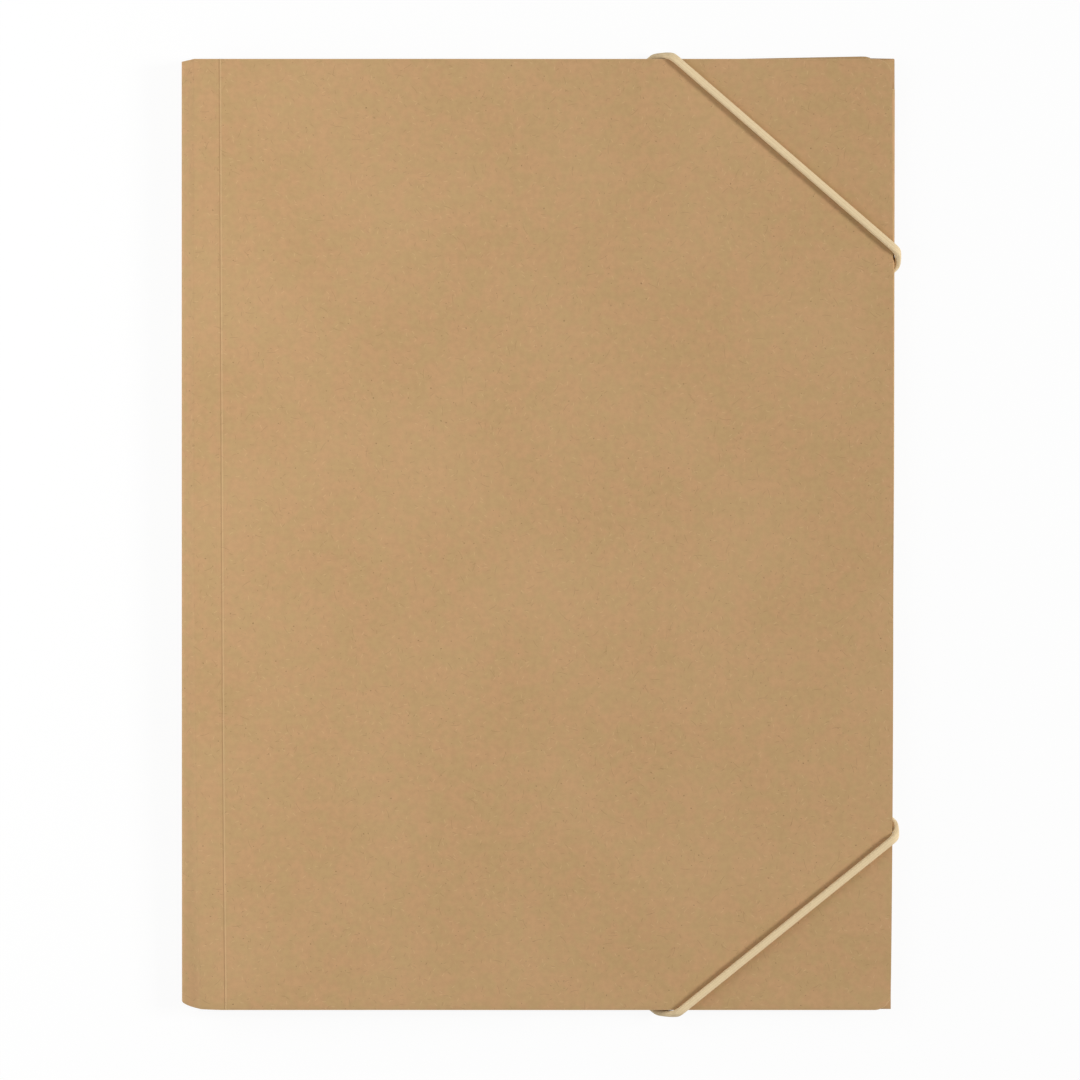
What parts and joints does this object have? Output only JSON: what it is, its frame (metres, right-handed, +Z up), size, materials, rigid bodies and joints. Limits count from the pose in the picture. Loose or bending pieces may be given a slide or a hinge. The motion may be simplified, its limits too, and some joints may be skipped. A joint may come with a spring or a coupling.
{
  "type": "elastic folder",
  "caption": "Slim kraft board document folder for A4 sheets, closed by elastic cords across its outer corners, with inner flaps and a hinged front cover.",
  "frame": {"origin": "centre of the closed folder's box on the surface that it lies on", "axes": "+X from the spine to the fore-edge, +Y from foot to head, +Z up from the back panel through the front cover"},
  "size_m": [0.2426, 0.3258, 0.0125],
  "materials": {
    "kraft_board": "uncoated kraft board, matte",
    "elastic": "braided cover over a rubber core, matte",
    "barb_steel": "nickel-plated"
  },
  "bodies": {
    "back": {"back_card": "kraft_board", "upper_elastic_cord": "elastic", "lower_elastic_cord": "elastic", "upper_cord_barb_1": "barb_steel", "upper_cord_barb_2": "barb_steel", "lower_cord_barb_1": "barb_steel", "lower_cord_barb_2": "barb_steel"},
    "cover": {"front_cover": "kraft_board"}
  },
  "joints": [
    {"name": "cover_hinge", "type": "hinge", "parent": "back", "child": "cover", "pos_m": [-0.1079, 0, 0.01224], "axis": [0.0047, -1, 0], "range_deg": [0, 180], "deforming": ["upper_elastic_cord", "lower_elastic_cord"]}
  ]
}
